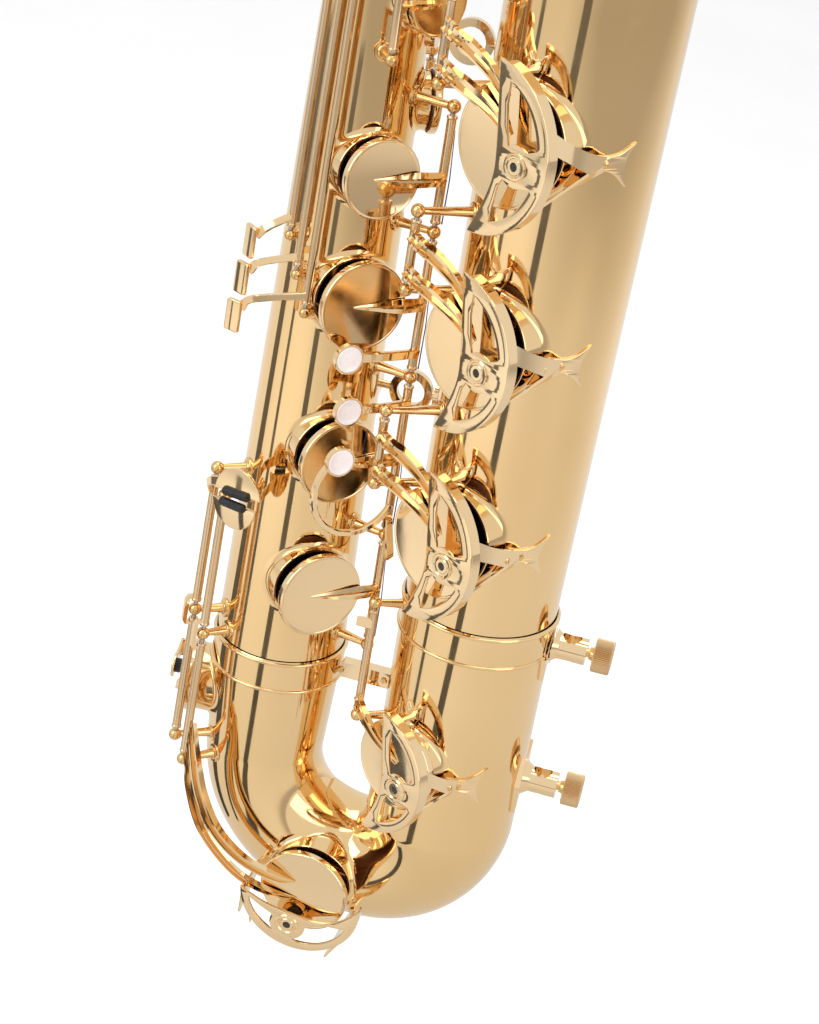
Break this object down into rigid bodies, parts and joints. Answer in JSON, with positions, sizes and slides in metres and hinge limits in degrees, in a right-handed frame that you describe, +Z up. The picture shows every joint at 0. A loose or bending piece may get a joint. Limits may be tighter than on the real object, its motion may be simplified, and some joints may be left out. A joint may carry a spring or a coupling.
{
  "type": "baritone saxophone",
  "caption": "Low-A baritone saxophone with a looped neck pipe, large bell, padded key cups under cut-out guards, and two side peg receivers.",
  "frame": {"origin": "centre of the lower peg bore, halfway along the vertical hole", "axes": "+Z up along the bell and body tubes; +X from the body tube towards the bell and out through the peg receivers; -Y is the side with the main keys and guards"},
  "size_m": [0.3472, 0.2175, 1.1143],
  "materials": {
    "lacquered_brass": "clear gold lacquer, mirror polish",
    "deep_lacquered_brass": "gold lacquer, satin on the knurls",
    "rod_steel": "ground and oiled",
    "blued_steel": "blued",
    "pad_leather": "smooth",
    "felt": "dense black felt",
    "cork": "fine sheet cork",
    "ebonite": "polished hard rubber",
    "cane": "smooth cane"
  },
  "bodies": {
    "frame": {"body_tube": "lacquered_brass", "lower_bow": "lacquered_brass", "bow_ferrules": "deep_lacquered_brass", "bow_plate": "lacquered_brass", "bell": "lacquered_brass", "braces": "lacquered_brass", "upper_bow": "lacquered_brass", "neck": "lacquered_brass", "neck_cork": "cork", "mouthpiece": "ebonite", "ligature": "lacquered_brass", "reed": "cane", "body_fittings": "lacquered_brass", "posts": "deep_lacquered_brass", "hinge_rods": "rod_steel", "needle_springs": "blued_steel", "low_a_guard": "lacquered_brass", "b_flat_guard": "lacquered_brass", "b_guard": "lacquered_brass", "c_sharp_guard": "lacquered_brass", "c_guard": "lacquered_brass", "e_flat_guard": "lacquered_brass", "guard_bumpers": "felt", "screws": "deep_lacquered_brass", "upper_peg_receiver": "lacquered_brass", "lower_peg_receiver": "lacquered_brass"},
    "low_a": {"low_a_key": "lacquered_brass", "low_a_pad": "pad_leather"},
    "b_flat": {"b_flat_key": "lacquered_brass", "b_flat_pad": "pad_leather"},
    "b": {"b_key": "lacquered_brass", "b_pad": "pad_leather"},
    "c_sharp": {"c_sharp_key": "lacquered_brass", "c_sharp_pad": "pad_leather"},
    "c": {"c_key": "lacquered_brass", "c_pad": "pad_leather"},
    "e_flat": {"e_flat_key": "lacquered_brass", "e_flat_pad": "pad_leather"},
    "d": {"d_key": "lacquered_brass", "d_pad": "pad_leather"},
    "e": {"e_key": "lacquered_brass", "e_pad": "pad_leather"},
    "f": {"f_key": "lacquered_brass", "f_pad": "pad_leather"},
    "f_sharp": {"f_sharp_key": "lacquered_brass", "f_sharp_pad": "pad_leather"},
    "g": {"g_key": "lacquered_brass"},
    "a": {"a_key": "lacquered_brass"},
    "b_stack": {"b_stack_key": "lacquered_brass"},
    "g_sharp": {"g_sharp_key": "lacquered_brass"},
    "side_e": {"side_e_key": "lacquered_brass"},
    "side_c": {"side_c_key": "lacquered_brass"},
    "side_b_flat": {"side_b_flat_key": "lacquered_brass"},
    "palm_d": {"palm_d_key": "lacquered_brass"},
    "palm_e_flat": {"palm_e_flat_key": "lacquered_brass"},
    "palm_f": {"palm_f_key": "lacquered_brass"},
    "octave": {"octave_key": "lacquered_brass"},
    "neck_octave": {"neck_octave_key": "lacquered_brass"},
    "lower_peg_screw": {"lower_peg_screw": "deep_lacquered_brass"},
    "upper_peg_screw": {"upper_peg_screw": "deep_lacquered_brass"}
  },
  "joints": [
    {"name": "low_a_hinge", "type": "hinge", "parent": "frame", "child": "low_a", "pos_m": [-0.13881, -0.05002, 0.4941], "axis": [-0.0051, -0.0109, 0.9999], "range_deg": [0, 8.5], "stiffness_Nm_per_rad": 0.25, "springref_deg": -34.38},
    {"name": "b_flat_hinge", "type": "hinge", "parent": "frame", "child": "b_flat", "pos_m": [-0.13816, -0.04861, 0.36411], "axis": [-0.0051, -0.0109, 0.9999], "range_deg": [0, 8.5], "stiffness_Nm_per_rad": 0.3, "springref_deg": -34.38},
    {"name": "b_hinge", "type": "hinge", "parent": "frame", "child": "b", "pos_m": [-0.1375, -0.04719, 0.23412], "axis": [-0.0051, -0.0109, 0.9999], "range_deg": [0, 8.5], "stiffness_Nm_per_rad": 0.3, "springref_deg": -34.38},
    {"name": "c_sharp_hinge", "type": "hinge", "parent": "frame", "child": "c_sharp", "pos_m": [-0.12665, -0.02972, 0.07431], "axis": [-0.006, -0.0104, 0.9999], "range_deg": [-8, 0], "stiffness_Nm_per_rad": 0.25, "springref_deg": 34.38},
    {"name": "c_hinge", "type": "hinge", "parent": "frame", "child": "c", "pos_m": [-0.23403, -0.04496, 0.06454], "axis": [0.017, 0.0183, 0.9997], "range_deg": [0, 4], "stiffness_Nm_per_rad": 0.3, "springref_deg": -34.38},
    {"name": "e_flat_hinge", "type": "hinge", "parent": "frame", "child": "e_flat", "pos_m": [-0.24346, -0.03731, 0.08459], "axis": [0.0202, 0.0147, 0.9997], "range_deg": [0, 7], "stiffness_Nm_per_rad": 0.25, "springref_deg": -34.38},
    {"name": "d_hinge", "type": "hinge", "parent": "frame", "child": "d", "pos_m": [-0.12977, -0.01978, 0.12228], "axis": [-0.0136, 0.021, 0.9997], "range_deg": [-9.5, 0], "stiffness_Nm_per_rad": 0.15, "springref_deg": 28.65},
    {"name": "e_hinge", "type": "hinge", "parent": "frame", "child": "e", "pos_m": [-0.13105, -0.01781, 0.21625], "axis": [-0.0136, 0.021, 0.9997], "range_deg": [-9.5, 0], "stiffness_Nm_per_rad": 0.15, "springref_deg": 28.65},
    {"name": "f_hinge", "type": "hinge", "parent": "frame", "child": "f", "pos_m": [-0.13247, -0.01563, 0.32022], "axis": [-0.0136, 0.021, 0.9997], "range_deg": [-9.5, 0], "stiffness_Nm_per_rad": 0.15, "springref_deg": 28.65},
    {"name": "f_sharp_hinge", "type": "hinge", "parent": "frame", "child": "f_sharp", "pos_m": [-0.13356, -0.01395, 0.4002], "axis": [-0.0136, 0.021, 0.9997], "range_deg": [-9.5, 0], "stiffness_Nm_per_rad": 0.08, "springref_deg": 28.65},
    {"name": "g_hinge", "type": "hinge", "parent": "frame", "child": "g", "pos_m": [-0.16953, -0.04485, 0.50416], "axis": [-0.0221, 0.0117, 0.9997], "range_deg": [0, 10], "stiffness_Nm_per_rad": 0.08, "springref_deg": -28.65},
    {"name": "a_hinge", "type": "hinge", "parent": "frame", "child": "a", "pos_m": [-0.17085, -0.04414, 0.56414], "axis": [-0.0221, 0.0117, 0.9997], "range_deg": [0, 10], "stiffness_Nm_per_rad": 0.08, "springref_deg": -28.65},
    {"name": "b_stack_hinge", "type": "hinge", "parent": "frame", "child": "b_stack", "pos_m": [-0.17217, -0.04344, 0.62413], "axis": [-0.0221, 0.0117, 0.9997], "range_deg": [0, 10], "stiffness_Nm_per_rad": 0.08, "springref_deg": -28.65},
    {"name": "g_sharp_hinge", "type": "hinge", "parent": "frame", "child": "g_sharp", "pos_m": [-0.16226, 0.0401, 0.43618], "axis": [-0.0232, -0.0094, 0.9997], "range_deg": [0, 10], "stiffness_Nm_per_rad": 0.1, "springref_deg": -34.38},
    {"name": "side_e_hinge", "type": "hinge", "parent": "frame", "child": "side_e", "pos_m": [-0.20999, -0.02978, 0.75408], "axis": [0.0129, 0.0214, 0.9997], "range_deg": [-7, 0], "stiffness_Nm_per_rad": 0.1, "springref_deg": 34.38},
    {"name": "side_c_hinge", "type": "hinge", "parent": "frame", "child": "side_c", "pos_m": [-0.20435, -0.03556, 0.63912], "axis": [0.0081, 0.0236, 0.9997], "range_deg": [-7, 0], "stiffness_Nm_per_rad": 0.1, "springref_deg": 34.38},
    {"name": "side_b_flat_hinge", "type": "hinge", "parent": "frame", "child": "side_b_flat", "pos_m": [-0.19689, -0.039, 0.57214], "axis": [0.003, 0.0248, 0.9997], "range_deg": [-7, 0], "stiffness_Nm_per_rad": 0.1, "springref_deg": 34.38},
    {"name": "palm_d_hinge", "type": "hinge", "parent": "frame", "child": "palm_d", "pos_m": [-0.2191, 0.02265, 0.65407], "axis": [0.0191, -0.0161, 0.9997], "range_deg": [-9, 0], "stiffness_Nm_per_rad": 0.06, "springref_deg": 28.65},
    {"name": "palm_e_flat_hinge", "type": "hinge", "parent": "frame", "child": "palm_e_flat", "pos_m": [-0.21814, 0.02185, 0.70405], "axis": [0.0191, -0.0161, 0.9997], "range_deg": [-9, 0], "stiffness_Nm_per_rad": 0.06, "springref_deg": 28.65},
    {"name": "palm_f_hinge", "type": "hinge", "parent": "frame", "child": "palm_f", "pos_m": [-0.21718, 0.02105, 0.75403], "axis": [0.0191, -0.0161, 0.9997], "range_deg": [-9, 0], "stiffness_Nm_per_rad": 0.06, "springref_deg": 28.65},
    {"name": "octave_hinge", "type": "hinge", "parent": "frame", "child": "octave", "pos_m": [-0.18726, 0.03447, 0.67106], "axis": [-0.0035, -0.0247, 0.9997], "range_deg": [0, 6], "stiffness_Nm_per_rad": 0.05, "springref_deg": -28.65},
    {"name": "neck_octave_hinge", "type": "hinge", "parent": "frame", "child": "neck_octave", "pos_m": [-0.19832, 0.06977, 0.9622], "axis": [-0.342, -0.9397, 0], "range_deg": [-6, 0], "stiffness_Nm_per_rad": 0.03, "springref_deg": 28.65},
    {"name": "lower_peg_screw_turn", "type": "hinge", "parent": "frame", "child": "lower_peg_screw", "pos_m": [0.02, 0, 0], "axis": [1, 0, 0], "continuous": true},
    {"name": "upper_peg_screw_turn", "type": "hinge", "parent": "frame", "child": "upper_peg_screw", "pos_m": [0.02, 0, 0.1045], "axis": [1, 0, 0], "continuous": true}
  ],
  "couplings": [
    {"joint": "f_sharp_hinge", "follows": "f_hinge", "ratio": 1},
    {"joint": "neck_octave_hinge", "follows": "octave_hinge", "ratio": -1}
  ]
}
